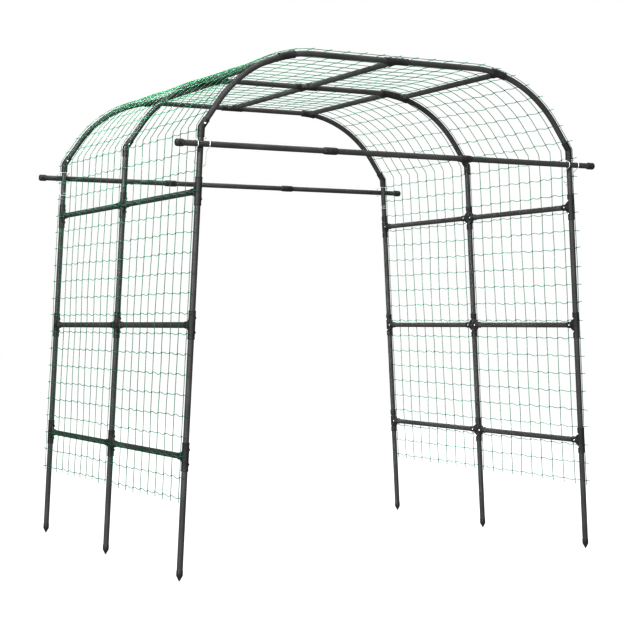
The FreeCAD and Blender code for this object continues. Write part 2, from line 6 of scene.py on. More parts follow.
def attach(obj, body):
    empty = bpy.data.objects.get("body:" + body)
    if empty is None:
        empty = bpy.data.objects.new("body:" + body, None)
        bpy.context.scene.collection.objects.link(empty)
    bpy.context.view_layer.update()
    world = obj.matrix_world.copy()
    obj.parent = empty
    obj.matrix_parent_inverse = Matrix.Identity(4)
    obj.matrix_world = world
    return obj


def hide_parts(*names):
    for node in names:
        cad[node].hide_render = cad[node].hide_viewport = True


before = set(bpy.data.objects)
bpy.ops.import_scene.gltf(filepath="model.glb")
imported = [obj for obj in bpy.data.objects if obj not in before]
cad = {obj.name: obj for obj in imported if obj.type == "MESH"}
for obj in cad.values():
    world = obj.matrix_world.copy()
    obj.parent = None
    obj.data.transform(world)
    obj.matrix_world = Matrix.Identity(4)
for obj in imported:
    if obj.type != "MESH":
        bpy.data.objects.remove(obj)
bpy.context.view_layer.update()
scene = bpy.context.scene


# ---- Camera -------------------------------------------------------------------------------
# About a metre up, seven metres forward of the arch's middle and well to its left, looking
# across it to the far right through a long lens.
camera_data = bpy.data.cameras.new("camera")
camera_data.lens = 90.75
camera_data.sensor_width = 36.0
camera = bpy.data.objects.new("camera", camera_data)
camera.location = (-3.634, -6.961, 1.071)
camera.rotation_euler = (math.radians(90.376), 0, math.radians(-27.838))
scene.collection.objects.link(camera)
scene.camera = camera


# ---- Studio -------------------------------------------------------------------------------
# A white room with a pale floor: a big soft box on the left, weaker ones overhead, behind and in
# front, and a narrow beam on the net's left shoulder. Gloss mirrors a dimmer room than the one
# seen, so that black plastic stays black.
bpy.ops.mesh.primitive_plane_add(size=80, location=(0, 0, 0))
floor = bpy.context.object
floor.name = "floor"
floor_paint = bpy.data.materials.new("pale floor")
floor_paint.use_nodes = True
floor_shader = floor_paint.node_tree.nodes["Principled BSDF"]
floor_shader.inputs["Base Color"].default_value = (0.14, 0.14, 0.14, 1)
floor_shader.inputs["Emission Color"].default_value = (1, 1, 1, 1)
floor_shader.inputs["Emission Strength"].default_value = 0.905
floor_shader.inputs["Roughness"].default_value = 0.9
floor_shader.inputs["Specular IOR Level"].default_value = 0.1
floor.data.materials.append(floor_paint)
floor.visible_glossy = False


def soft_box(name, place, size, power, target=(0, 0, 1.1), spread=180):
    """Square area light that faces the arch, with its beam narrowed to spread degrees."""
    data = bpy.data.lights.new(name, "AREA")
    data.size = size
    data.energy = power
    data.spread = math.radians(spread)
    lamp = bpy.data.objects.new(name, data)
    lamp.location = place
    aim = Vector(target) - Vector(place)
    lamp.rotation_euler = aim.to_track_quat("-Z", "Y").to_euler()
    scene.collection.objects.link(lamp)
    return lamp


soft_box("key", (-9.0, -5.2, 5.2), 3.5, 1250)
soft_box("top", (0.5, 0, 8.0), 6.0, 400)
soft_box("back", (5.0, 8.0, 4.5), 4.0, 300)
soft_box("fill", (-1.5, -9.0, 3.0), 3.0, 260)
shoulder_box = soft_box("shoulder", (-4.2, -0.6, 4.8), 1.2, 15, (-0.72, 0.15, 2.12), 26)
shoulder_box.visible_glossy = False

world = bpy.data.worlds.new("white room")
world.use_nodes = True
room = world.node_tree
room.nodes.remove(room.nodes["Background"])


def walls(strength):
    """White walls that glow with the given strength."""
    node = room.nodes.new("ShaderNodeBackground")
    node.inputs["Color"].default_value = (1, 1, 1, 1)
    node.inputs["Strength"].default_value = strength
    return node.outputs["Background"]


def choose(ray, otherwise, chosen):
    """One look for this kind of ray and another for the rest."""
    node = room.nodes.new("ShaderNodeMixShader")
    room.links.new(path.outputs[ray], node.inputs["Fac"])
    room.links.new(otherwise, node.inputs[1])
    room.links.new(chosen, node.inputs[2])
    return node.outputs["Shader"]


path = room.nodes.new("ShaderNodeLightPath")
lit = choose("Is Glossy Ray", walls(0.7), walls(0.2))
room.links.new(choose("Is Camera Ray", lit, walls(1.0)), room.nodes["World Output"].inputs["Surface"])
scene.world = world
scene.view_settings.view_transform = "Standard"
scene.view_settings.gamma = 0.64


# ---- Steel tubes --------------------------------------------------------------------------
# Drawn 25 mm steel tube, powder coated charcoal: a satin skin with a fine orange peel, faint
# cloudy patches and small pale flecks. The tubes keep the shape they have in the frame.
class Recipe:
    """A new material and short ways to wire its nodes together."""

    def __init__(self, name):
        self.material = bpy.data.materials.new(name)
        self.material.use_nodes = True
        self.tree = self.material.node_tree
        self.shader = self.tree.nodes["Principled BSDF"]
        place = self.tree.nodes.new("ShaderNodeTexCoord")
        self.place = place.outputs["Object"]

    def wire(self, source, target):
        self.tree.links.new(source, target)

    def grain(self, scale, detail=2.0, roughness=0.5, stretch=None):
        """Noise of the given number of lumps to the metre."""
        node = self.tree.nodes.new("ShaderNodeTexNoise")
        node.inputs["Scale"].default_value = scale
        node.inputs["Detail"].default_value = detail
        node.inputs["Roughness"].default_value = roughness
        if stretch:
            mapping = self.tree.nodes.new("ShaderNodeMapping")
            mapping.inputs["Scale"].default_value = stretch
            self.wire(self.place, mapping.inputs["Vector"])
            self.wire(mapping.outputs["Vector"], node.inputs["Vector"])
        else:
            self.wire(self.place, node.inputs["Vector"])
        return node.outputs["Fac"]

    def ramp(self, source, stops):
        """Colour ramp with (place, colour) stops."""
        node = self.tree.nodes.new("ShaderNodeValToRGB")
        while len(node.color_ramp.elements) < len(stops):
            node.color_ramp.elements.new(0.5)
        for element, (place, colour) in zip(node.color_ramp.elements, stops):
            element.position = place
            element.color = (*colour, 1)
        self.wire(source, node.inputs["Fac"])
        return node.outputs["Color"]

    def level(self, source, low, high, at=(0.35, 0.65)):
        """A number that follows a texture, from low to high."""
        node = self.tree.nodes.new("ShaderNodeMapRange")
        node.inputs["From Min"].default_value = at[0]
        node.inputs["From Max"].default_value = at[1]
        node.inputs["To Min"].default_value = low
        node.inputs["To Max"].default_value = high
        self.wire(source, node.inputs["Value"])
        return node.outputs["Result"]

    def blend(self, factor, below, above):
        """Colour mix: below where the factor is 0, above where it is 1."""
        node = self.tree.nodes.new("ShaderNodeMix")
        node.data_type = "RGBA"
        self.wire(factor, node.inputs["Factor"])
        for colour, socket in ((below, node.inputs["A"]), (above, node.inputs["B"])):
            if isinstance(colour, tuple):
                socket.default_value = (*colour, 1)
            else:
                self.wire(colour, socket)
        return node.outputs["Result"]

    def reach(self, axis, low, high):
        """0 to 1 along an axis of the object, from low to high in metres."""
        node = self.tree.nodes.new("ShaderNodeSeparateXYZ")
        self.wire(self.place, node.inputs["Vector"])
        return self.level(node.outputs[axis], 0.0, 1.0, (low, high))

    def edges(self, low, high):
        """1 on worn outer edges, 0 elsewhere."""
        node = self.tree.nodes.new("ShaderNodeNewGeometry")
        return self.level(node.outputs["Pointiness"], 0.0, 1.0, (low, high))

    def bump(self, layers):
        """Raise the surface by (texture, height in metres) layers."""
        last = None
        for source, height in layers:
            node = self.tree.nodes.new("ShaderNodeBump")
            node.inputs["Distance"].default_value = height
            self.wire(source, node.inputs["Height"])
            if last:
                self.wire(last, node.inputs["Normal"])
            last = node.outputs["Normal"]
        self.wire(last, self.shader.inputs["Normal"])


def paint_cad(material, *starts):
    """Give a material to the CAD nodes whose names start so."""
    for name, piece in cad.items():
        if name.startswith(starts):
            piece.data.materials.clear()
            piece.data.materials.append(material)


coat = Recipe("charcoal powder coat")
clouds = coat.grain(7.0, 4.0, 0.6)
peel = coat.grain(900.0, 2.0, 0.5)
speckle = coat.grain(2600.0, 1.0, 0.5)
tone = coat.ramp(clouds, [(0.3, (0.068, 0.070, 0.068)), (0.55, (0.084, 0.086, 0.084)),
                          (0.75, (0.104, 0.106, 0.104))])
fleck = coat.level(speckle, 0.0, 0.35, (0.60, 0.75))
coat.wire(coat.blend(fleck, tone, (0.170, 0.170, 0.165)), coat.shader.inputs["Base Color"])
coat.wire(coat.level(clouds, 0.40, 0.55), coat.shader.inputs["Roughness"])
coat.shader.inputs["Metallic"].default_value = 0.15
coat.shader.inputs["Specular IOR Level"].default_value = 0.45
coat.bump([(peel, 0.00025), (speckle, 0.00008)])
paint_cad(coat.material, "ground_post", "post_tubes", "shoulder_tube", "roof_tube",
          "wall_bars", "roof_purlins", "crossbar_front", "crossbar_rear")


# ---- Wall and ridge connectors ------------------------------------------------------------
# Black moulded sleeves, slid over the tube ends: a run along the post or the ridge, a socket
# for each bar, a web in the corner between them and a screw boss on every arm.
def alone(piece):
    """Make a piece the only selected one."""
    bpy.ops.object.select_all(action="DESELECT")
    piece.select_set(True)
    bpy.context.view_layer.objects.active = piece


def finish_modifier(piece, kind, **settings):
    """Add a modifier and apply it."""
    alone(piece)
    modifier = piece.modifiers.new(kind.lower(), kind)
    for key, value in settings.items():
        setattr(modifier, key, value)
    bpy.ops.object.modifier_apply(modifier=modifier.name)


def bar(radius, length, start, direction, sides=48):
    """Round bar from a start point along a direction."""
    aim = Vector(direction).normalized()
    bpy.ops.object.select_all(action="DESELECT")
    bpy.ops.mesh.primitive_cylinder_add(
        vertices=sides, radius=radius, depth=length,
        location=Vector(start) + aim * length / 2,
        rotation=aim.to_track_quat("Z", "Y").to_euler())
    piece = bpy.context.object
    bpy.ops.object.transform_apply(location=True, rotation=True, scale=True)
    return piece


def moulding(name, parts, bores, triangles, voxel=0.0009):
    """Run solids together as one soft-edged moulding, then bore it."""
    bpy.ops.object.select_all(action="DESELECT")
    for part in parts:
        part.select_set(True)
    bpy.context.view_layer.objects.active = parts[0]
    bpy.ops.object.join()
    piece = bpy.context.object
    piece.name = name
    finish_modifier(piece, "REMESH", mode="VOXEL", voxel_size=voxel)
    finish_modifier(piece, "SMOOTH", factor=0.5, iterations=5)
    fine_triangles = 2 * len(piece.data.polygons)
    finish_modifier(piece, "DECIMATE", ratio=min(1.0, triangles / fine_triangles))
    for bore in bores:
        finish_modifier(piece, "BOOLEAN", operation="DIFFERENCE", solver="EXACT", object=bore)
        bpy.data.objects.remove(bore)
    return piece


def set_out(name, pattern, places, material, slot, *nodes):
    """Copies of a pattern at each place, joined as one piece that stands for CAD nodes."""
    bpy.ops.object.select_all(action="DESELECT")
    copies = []
    for place in places:
        copy = pattern.copy()
        copy.data = pattern.data.copy()
        copy.data.transform(place)
        scene.collection.objects.link(copy)
        copies.append(copy)
    for copy in copies:
        copy.select_set(True)
    bpy.context.view_layer.objects.active = copies[0]
    if len(copies) > 1:
        bpy.ops.object.join()
    piece = bpy.context.object
    piece.name = name
    alone(piece)
    bpy.ops.object.shade_smooth_by_angle(angle=math.radians(40))
    piece.data.materials.clear()
    piece.data.materials.append(material)
    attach(piece, "root")
    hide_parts(*nodes)
    return piece


moulded = Recipe("black moulded plastic")
mist = moulded.grain(22.0, 3.0, 0.6)
spark = moulded.grain(1500.0, 2.0, 0.55)
worn = moulded.edges(0.52, 0.60)
shade = moulded.ramp(mist, [(0.35, (0.035, 0.036, 0.035)), (0.65, (0.051, 0.052, 0.051))])
moulded.wire(moulded.blend(worn, shade, (0.080, 0.080, 0.080)), moulded.shader.inputs["Base Color"])
moulded.wire(moulded.level(mist, 0.42, 0.56), moulded.shader.inputs["Roughness"])
moulded.shader.inputs["Specular IOR Level"].default_value = 0.5
moulded.bump([(spark, 0.00012), (mist, 0.0002)])

# Radii, and lengths from the crossing of the axes.
SLEEVE = 0.015
BORE = 0.01255
SOCKET = 0.0147
SOCKET_RIM = 0.0154
SOCKET_FLOOR = 0.0136
RIM_RISE = 0.0007
RIM_WIDTH = 0.004
RUN_HALF = 0.060
BOSS = 0.0062
BOSS_TOP = 0.017
BOSS_OUT = 0.031
BORE_PAST = 0.005
WEB_OUT = 0.037
WEB_HALF = 0.040
WEB_TIP_HALF = 0.0137
WEB_THICK_HALF = 0.0075
WEB_TIP_THICK_HALF = 0.0065


def web(arm):
    """Flat gusset in the corner between run and socket, narrowing along the socket."""
    bpy.ops.object.select_all(action="DESELECT")
    bpy.ops.mesh.primitive_cube_add(size=1, location=(0, 0, 0))
    piece = bpy.context.object
    for corner in piece.data.vertices:
        outer = corner.co.y > 0
        corner.co.x = math.copysign(WEB_TIP_THICK_HALF if outer else WEB_THICK_HALF, corner.co.x)
        corner.co.z = math.copysign(WEB_TIP_HALF if outer else WEB_HALF, corner.co.z)
        corner.co.y = arm * (WEB_OUT if outer else 0.0)
    if arm < 0:
        piece.data.flip_normals()
    return piece


def wall_connector(name, arms, triangles):
    """Run along Z, sockets along Y, bosses towards X."""
    parts = [bar(SLEEVE, 2 * RUN_HALF, (0, 0, -RUN_HALF), (0, 0, 1))]
    bore_from = -RUN_HALF - BORE_PAST
    bores = [bar(BORE, 2 * (RUN_HALF + BORE_PAST), (0, 0, bore_from), (0, 0, 1))]
    rim_from = RUN_HALF - RIM_WIDTH
    for end in (-1, 1):
        parts.append(bar(SLEEVE + RIM_RISE, RIM_WIDTH, (0, 0, end * rim_from), (0, 0, end)))
        parts.append(bar(BOSS, BOSS_TOP, (0, 0, end * BOSS_OUT), (1, 0, 0)))
    for arm in arms:
        parts.append(bar(SOCKET, RUN_HALF, (0, 0, 0), (0, arm, 0)))
        parts.append(bar(SOCKET_RIM, RIM_WIDTH, (0, arm * rim_from, 0), (0, arm, 0)))
        parts.append(bar(BOSS, BOSS_TOP, (0, arm * BOSS_OUT, 0), (1, 0, 0)))
        parts.append(web(arm))
        bores.append(bar(BORE, RUN_HALF, (0, arm * SOCKET_FLOOR, 0), (0, arm, 0)))
    return moulding(name, parts, bores, triangles)


# The rib's line: a leaning post, a straight shoulder, a round curve and a flat roof.
LEAN = math.radians(3.0)
SLOPE = math.radians(55.2)
POST = 1.901
SHOULDER = 0.133
CURVE_RADIUS = 0.559
CURVE_X = 0.418
TIP_RADIUS = 0.0025
ELBOW_X = CURVE_X + CURVE_RADIUS * math.sin(SLOPE) + SHOULDER * math.cos(SLOPE)
FOOT_X = ELBOW_X + POST * math.sin(LEAN)
FOOT_Z = TIP_RADIUS * math.sin(LEAN)
ELBOW_Z = FOOT_Z + POST * math.cos(LEAN)
ROOF_Z = ELBOW_Z + SHOULDER * math.sin(SLOPE) + CURVE_RADIUS * (1 - math.cos(SLOPE))
LEVELS = (0.516, 1.0675, 1.630)
RIB_PITCH = 0.875
RIB_Y = {"front": -RIB_PITCH, "middle": 0.0, "rear": RIB_PITCH}
INWARDS = {"front": 1, "rear": -1}
SIDES = {"left": -1, "right": 1}


def stand(origin, x_axis, z_axis):
    """Matrix with this origin and these directions of X and Z."""
    x_axis, z_axis = Vector(x_axis), Vector(z_axis)
    y_axis = z_axis.cross(x_axis)
    turn = Matrix((x_axis, y_axis, z_axis)).transposed().to_4x4()
    return Matrix.Translation(Vector(origin)) @ turn


def on_post(side, rib, along):
    """On a post's axis: Z up along it, X towards the walkway."""
    hand = SIDES[side]
    up = Vector((-hand * math.sin(LEAN), 0, math.cos(LEAN)))
    foot = Vector((hand * FOOT_X, RIB_Y[rib], FOOT_Z))
    return stand(foot + up * along, (-hand * math.cos(LEAN), 0, -math.sin(LEAN)), up)


def on_ridge(rib):
    """At the ridge: Z along the rib, X up."""
    return stand((0, RIB_Y[rib], ROOF_Z), (0, 0, 1), (1, 0, 0))


HALF_TURN = Matrix.Rotation(math.pi, 4, "X")


def socket_inwards(place, rib):
    """Turn a tee's place over where its socket would point out of the arch."""
    socket = place.to_3x3() @ Vector((0, 1, 0))
    return place if socket.y * INWARDS[rib] > 0 else place @ HALF_TURN


tee = wall_connector("tee pattern", (1,), 7000)
cross = wall_connector("cross pattern", (-1, 1), 9000)
tee_places = {"left": [], "right": []}
cross_places = {"left": [], "right": []}
for side in SIDES:
    for level in LEVELS:
        cross_places[side].append(on_post(side, "middle", level))
        for rib in INWARDS:
            tee_places[side].append(socket_inwards(on_post(side, rib, level), rib))
for side in SIDES:
    set_out(f"tees_{side}", tee, tee_places[side], moulded.material, "black_connector_plastic",
            f"wall_tees_{side}")
    set_out(f"crosses_{side}", cross, cross_places[side], moulded.material,
            "black_connector_plastic", f"wall_crosses_{side}")
for rib in INWARDS:
    set_out(f"ridge_{rib}", tee, [socket_inwards(on_ridge(rib), rib)], moulded.material,
            "black_connector_plastic", f"ridge_tee_{rib}")
set_out("ridge_middle", cross, [on_ridge("middle")], moulded.material,
        "black_connector_plastic", "ridge_cross_middle")


# ---- Elbows -------------------------------------------------------------------------------
# Bent sleeves at the eaves that join post and shoulder tube. All six are one moulding: its
# screw faces the front on the left-hand side and the rear on the right-hand side.
ELBOW_LEG = 0.042
ELBOW_STOP = 0.004
ELBOW_BOSS_UP = 0.018
elbow_turn = math.pi / 2 - SLOPE - LEAN
leg_down = Vector((math.sin(elbow_turn), 0, -math.cos(elbow_turn)))
bpy.ops.object.select_all(action="DESELECT")
bpy.ops.mesh.primitive_uv_sphere_add(segments=48, ring_count=24, radius=SLEEVE)
elbow_ball = bpy.context.object
elbow_parts = [
    elbow_ball,
    bar(SLEEVE, ELBOW_LEG, (0, 0, 0), (0, 0, 1)),
    bar(SLEEVE, ELBOW_LEG, (0, 0, 0), leg_down),
    bar(SLEEVE + RIM_RISE, RIM_WIDTH, (0, 0, ELBOW_LEG - RIM_WIDTH), (0, 0, 1)),
    bar(SLEEVE + RIM_RISE, RIM_WIDTH, leg_down * (ELBOW_LEG - RIM_WIDTH), leg_down),
    bar(BOSS, BOSS_TOP, (0, 0, ELBOW_BOSS_UP), (0, -1, 0)),
]
elbow_bores = [
    bar(BORE, ELBOW_LEG, (0, 0, ELBOW_STOP), (0, 0, 1)),
    bar(BORE, ELBOW_LEG, leg_down * ELBOW_STOP, leg_down),
]
elbow = moulding("elbow pattern", elbow_parts, elbow_bores, 5000)


def at_elbow(side, rib):
    """At the elbow's bend: Z up along the shoulder's straight leg, X towards the walkway."""
    hand = SIDES[side]
    up = Vector((-hand * math.cos(SLOPE), 0, math.sin(SLOPE)))
    bend = Vector((hand * ELBOW_X, RIB_Y[rib], ELBOW_Z))
    return stand(bend, (-hand * math.sin(SLOPE), 0, -math.cos(SLOPE)), up)


for rib in RIB_Y:
    for side in SIDES:
        set_out(f"eaves_elbow_{rib}_{side}", elbow, [at_elbow(side, rib)], moulded.material,
                "black_connector_plastic", f"elbow_{rib}_{side}")


# ---- Knee tees ----------------------------------------------------------------------------
# Short black tees that carry the side purlins. Their sleeve follows the roof's curve, and one
# screw through a boss on top holds them.
def on_curve(side, rib, degrees):
    """On the roof curve's centre: X out through the tube, Z along the tunnel."""
    hand = SIDES[side]
    angle = math.radians(degrees)
    centre = Vector((hand * CURVE_X, RIB_Y[rib], ROOF_Z - CURVE_RADIUS))
    return stand(centre, (hand * math.sin(angle), 0, math.cos(angle)), (0, hand, 0))


KNEE_SLEEVE = 0.0168
KNEE_RIM = KNEE_SLEEVE + 0.0008
KNEE_HALF = 0.03805
KNEE_REACH = 0.042
KNEE_BORE_PAST = 0.004
CUTS = 8
# Degrees round the curve from the flat roof, for the tees of the front and of the rear bay.
FRONT_KNEE = 13.7
REAR_KNEE = 5.4


def bowed(piece):
    """Bend a bar that lies along Y so that it follows the roof curve round the Z axis."""
    for point in piece.data.vertices:
        angle = point.co.y / CURVE_RADIUS
        reach = point.co.x + CURVE_RADIUS
        point.co.x = reach * math.cos(angle) - CURVE_RADIUS
        point.co.y = reach * math.sin(angle)
    return piece


def along_curve(radius, half, rim=None, end=1):
    """Bar of the given half length along Y, or only a rim at one of its ends, cut and bowed."""
    length = rim or 2 * half
    piece = bar(radius, length, (0, end * half, 0), (0, -end, 0))
    alone(piece)
    bpy.ops.object.mode_set(mode="EDIT")
    for ring in range(1, CUTS):
        bpy.ops.mesh.select_all(action="SELECT")
        bpy.ops.mesh.bisect(plane_co=(0, end * (half - length * ring / CUTS), 0),
                            plane_no=(0, 1, 0))
    bpy.ops.object.mode_set(mode="OBJECT")
    return bowed(piece)


knee_parts = [
    along_curve(KNEE_SLEEVE, KNEE_HALF),
    along_curve(KNEE_RIM, KNEE_HALF, RIM_WIDTH, 1),
    along_curve(KNEE_RIM, KNEE_HALF, RIM_WIDTH, -1),
    bar(SOCKET, KNEE_REACH, (0, 0, 0), (0, 0, 1)),
    bar(SOCKET_RIM, RIM_WIDTH, (0, 0, KNEE_REACH - RIM_WIDTH), (0, 0, 1)),
    bar(BOSS, BOSS_TOP, (0, 0, 0), (1, 0, 0)),
]
knee_bores = [
    along_curve(BORE, KNEE_HALF + KNEE_BORE_PAST),
    bar(BORE, KNEE_REACH, (0, 0, SOCKET_FLOOR), (0, 0, 1)),
]
knee = moulding("knee pattern", knee_parts, knee_bores, 4000)
knee_out = Matrix.Translation((CURVE_RADIUS, 0, 0))
# Each rib's tees, with 1 for a socket towards the rear and -1 for one towards the front.
KNEES = {
    "front": [(FRONT_KNEE, 1)],
    "middle": [(FRONT_KNEE, -1), (REAR_KNEE, 1)],
    "rear": [(REAR_KNEE, -1)],
}
knee_places = []
for rib, tees in KNEES.items():
    places = []
    for side, hand in SIDES.items():
        for degrees, bay in tees:
            place = on_curve(side, rib, degrees) @ knee_out
            knee_places.append(place)
            places.append(place if bay * hand > 0 else place @ HALF_TURN)
    set_out(f"knee_sleeves_{rib}", knee, places, moulded.material, "black_connector_plastic",
            f"knee_tees_{rib}")


# ---- Crossbar sleeves and end caps --------------------------------------------------------
# Each crossbar is three tubes joined by two black sleeves with tapered ends, and closed at its
# ends by push-on caps with a rounded nose and grip rings.
BAR_OFF = 0.0251
BAR_UP_POST = 1.8275
BAR_Y = RIB_PITCH + BAR_OFF
BAR_Z = FOOT_Z + BAR_UP_POST * math.cos(LEAN)
BAR_HALF = 1.081
BARREL = 0.0158
BAR_SLEEVE_X = 0.35
CAP_LENGTH = 0.034
CAP_ROUND = 0.0068


def turned_piece(name, outline, sides=64):
    """Spin an outline of (along, radius) points about Z and close it."""
    mesh = bpy.data.meshes.new(name)
    mesh.from_pydata([(radius, 0, along) for along, radius in outline],
                     [(n, n + 1) for n in range(len(outline) - 1)], [])
    piece = bpy.data.objects.new(name, mesh)
    scene.collection.objects.link(piece)
    alone(piece)
    bpy.ops.object.mode_set(mode="EDIT")
    bpy.ops.mesh.select_all(action="SELECT")
    bpy.ops.mesh.spin(steps=sides, angle=2 * math.pi, center=(0, 0, 0), axis=(0, 0, 1))
    bpy.ops.mesh.select_all(action="SELECT")
    bpy.ops.mesh.remove_doubles(threshold=0.00001)
    bpy.ops.mesh.select_all(action="SELECT")
    bpy.ops.mesh.normals_make_consistent(inside=False)
    bpy.ops.object.mode_set(mode="OBJECT")
    return piece


sleeve = turned_piece("sleeve pattern", [
    (-0.0335, BORE), (-0.0335, 0.0139), (-0.032, 0.0146), (-0.026, 0.0156), (-0.0200, BARREL),
    (-0.0022, BARREL), (-0.0010, BARREL + 0.0005), (0.0010, BARREL + 0.0005), (0.0022, BARREL),
    (0.0200, BARREL), (0.026, 0.0156), (0.032, 0.0146), (0.0335, 0.0139), (0.0335, BORE),
    (-0.0335, BORE)])


def across(x, y):
    """On a crossbar: Z towards +X."""
    return stand((x, y, BAR_Z), (0, 0, 1), (1, 0, 0))


sleeve_places = [across(x, y) for x in (-BAR_SLEEVE_X, BAR_SLEEVE_X) for y in (-BAR_Y, BAR_Y)]
set_out("bar_sleeves", sleeve, sleeve_places, moulded.material, "black_connector_plastic",
        "crossbar_sleeves")

nose = []
for degrees in range(0, 91, 15):
    angle = math.radians(degrees)
    nose.append((CAP_LENGTH - CAP_ROUND + CAP_ROUND * math.sin(angle),
                 BARREL - CAP_ROUND + CAP_ROUND * math.cos(angle)))
cap = turned_piece("cap pattern", [
    (0.030, 0.0), (0.030, BORE), (0.0, BORE), (0.0, 0.0150), (0.0008, BARREL), (0.006, BARREL),
    (0.0068, 0.0152), (0.0078, 0.0152), (0.0086, BARREL), (0.0110, BARREL), (0.0118, 0.0152),
    (0.0128, 0.0152), (0.0136, BARREL)] + nose + [(CAP_LENGTH, 0.0)])
cap_places = []
for y in (-BAR_Y, BAR_Y):
    cap_places.append(across(BAR_HALF - CAP_LENGTH, y))
    cap_places.append(across(CAP_LENGTH - BAR_HALF, y) @ HALF_TURN)
capped = Recipe("black cap plastic")
haze = capped.grain(30.0, 3.0, 0.6)
tooth = capped.grain(1200.0, 2.0, 0.5)
capped.wire(capped.ramp(haze, [(0.3, (0.038, 0.038, 0.039)), (0.7, (0.055, 0.055, 0.056))]),
            capped.shader.inputs["Base Color"])
capped.wire(capped.level(haze, 0.36, 0.5), capped.shader.inputs["Roughness"])
capped.bump([(tooth, 0.0001)])
set_out("bar_caps", cap, cap_places, capped.material, "black_cap_plastic", "crossbar_end_caps")


# ---- Stake points -------------------------------------------------------------------------
# Pressed on under each post: a plain collar over the tube and a blunt cone to push into soil.
stake = turned_piece("stake pattern", [
    (0.024, 0.0), (0.024, BORE), (0.044, BORE), (0.044, 0.0130), (0.0432, 0.0135),
    (0.0225, 0.0135), (0.0212, 0.0131), (0.0200, 0.0126), (0.0040, 0.0038), (0.0012, 0.0027),
    (0.0, 0.0018), (0.0, 0.0)])
for rib in RIB_Y:
    for side in SIDES:
        set_out(f"stake_{rib}_{side}", stake, [on_post(side, rib, 0)], capped.material,
                "black_cap_plastic", f"stake_tip_{rib}_{side}")


# ---- Screws -------------------------------------------------------------------------------
# Zinc-plated pan-head screws, one through every boss. Each cross recess stands at its own angle,
# as the driver left it.
HEAD = 0.0045
SLIT = (0.0052, 0.0010, 0.003)
SLIT_UP = 0.0024
SLIT_TAPER = 0.35
screw = turned_piece("screw pattern", [
    (-0.0043, 0.0), (-0.0043, 0.0020), (0.0, 0.0020), (0.0, HEAD - 0.0002), (0.0002, HEAD),
    (0.0010, HEAD - 0.0001), (0.0017, 0.0041), (0.0021, 0.0034), (0.0024, 0.0020), (0.0025, 0.0)],
    24)
slots = []
for turn in (0.0, math.pi / 2):
    bpy.ops.object.select_all(action="DESELECT")
    bpy.ops.mesh.primitive_cube_add(size=1, location=(0, 0, 0))
    slit = bpy.context.object
    slit.data.transform(Matrix.Diagonal((*SLIT, 1)))
    for corner in slit.data.vertices:
        if corner.co.z < 0:
            corner.co.x *= SLIT_TAPER
    slit.data.transform(Matrix.Rotation(turn, 4, "Z") @ Matrix.Translation((0, 0, SLIT_UP)))
    slots.append(slit)
for slit in slots:
    finish_modifier(screw, "BOOLEAN", operation="DIFFERENCE", solver="EXACT", object=slit)
    bpy.data.objects.remove(slit)

zinc = Recipe("bright zinc")
blotch = zinc.grain(300.0, 2.0, 0.6)
zinc.wire(zinc.ramp(blotch, [(0.3, (0.82, 0.84, 0.86)), (0.7, (0.95, 0.95, 0.94))]),
          zinc.shader.inputs["Base Color"])
zinc.wire(zinc.level(blotch, 0.22, 0.38), zinc.shader.inputs["Roughness"])
zinc.shader.inputs["Metallic"].default_value = 0.45
zinc.bump([(zinc.grain(2500.0, 1.0, 0.5), 0.00003)])

screw_places = []


def drive(place, point, direction):
    """Screw with its head seated at a point of a connector's own frame."""
    aim = Vector(direction)
    side_axis = Vector((0, 1, 0)) if abs(aim.y) < 0.5 else Vector((0, 0, 1))
    spin = 0.7 + 2.3 * len(screw_places)
    seat = stand(Vector(point) + aim * BOSS_TOP, side_axis, aim)
    screw_places.append(place @ seat @ Matrix.Rotation(spin, 4, "Z"))


for side in SIDES:
    for place in tee_places[side]:
        for point in ((0, 0, -BOSS_OUT), (0, 0, BOSS_OUT), (0, BOSS_OUT, 0)):
            drive(place, point, (1, 0, 0))
    for place in cross_places[side]:
        for point in ((0, 0, -BOSS_OUT), (0, 0, BOSS_OUT), (0, BOSS_OUT, 0), (0, -BOSS_OUT, 0)):
            drive(place, point, (1, 0, 0))
for rib, arms in (("front", (-1,)), ("middle", (-1, 1)), ("rear", (1,))):
    for point in [(0, 0, -BOSS_OUT), (0, 0, BOSS_OUT)] + [(0, arm * BOSS_OUT, 0) for arm in arms]:
        drive(on_ridge(rib), point, (1, 0, 0))
for rib in RIB_Y:
    for side in SIDES:
        drive(at_elbow(side, rib), (0, 0, ELBOW_BOSS_UP), (0, -1, 0))
for place in knee_places:
    drive(place, (0, 0, 0), (1, 0, 0))
set_out("pan_head_screws", screw, screw_places, zinc.material, "zinc_screw", "connector_screws")


# ---- Wire clips ---------------------------------------------------------------------------
# Bright spring wire bent round post and crossbar, which holds the bar against the post. The
# clips keep the shape they have in the frame.
wire = Recipe("clip wire")
drawn = wire.grain(120.0, 2.0, 0.5, stretch=(1, 1, 0.1))
wire.wire(wire.ramp(drawn, [(0.3, (0.84, 0.85, 0.86)), (0.7, (0.95, 0.95, 0.94))]),
          wire.shader.inputs["Base Color"])
wire.wire(wire.level(drawn, 0.25, 0.4), wire.shader.inputs["Roughness"])
wire.shader.inputs["Metallic"].default_value = 0.45
wire.bump([(wire.grain(1800.0, 1.0, 0.5), 0.00003)])
paint_cad(wire.material, "wire_clips")


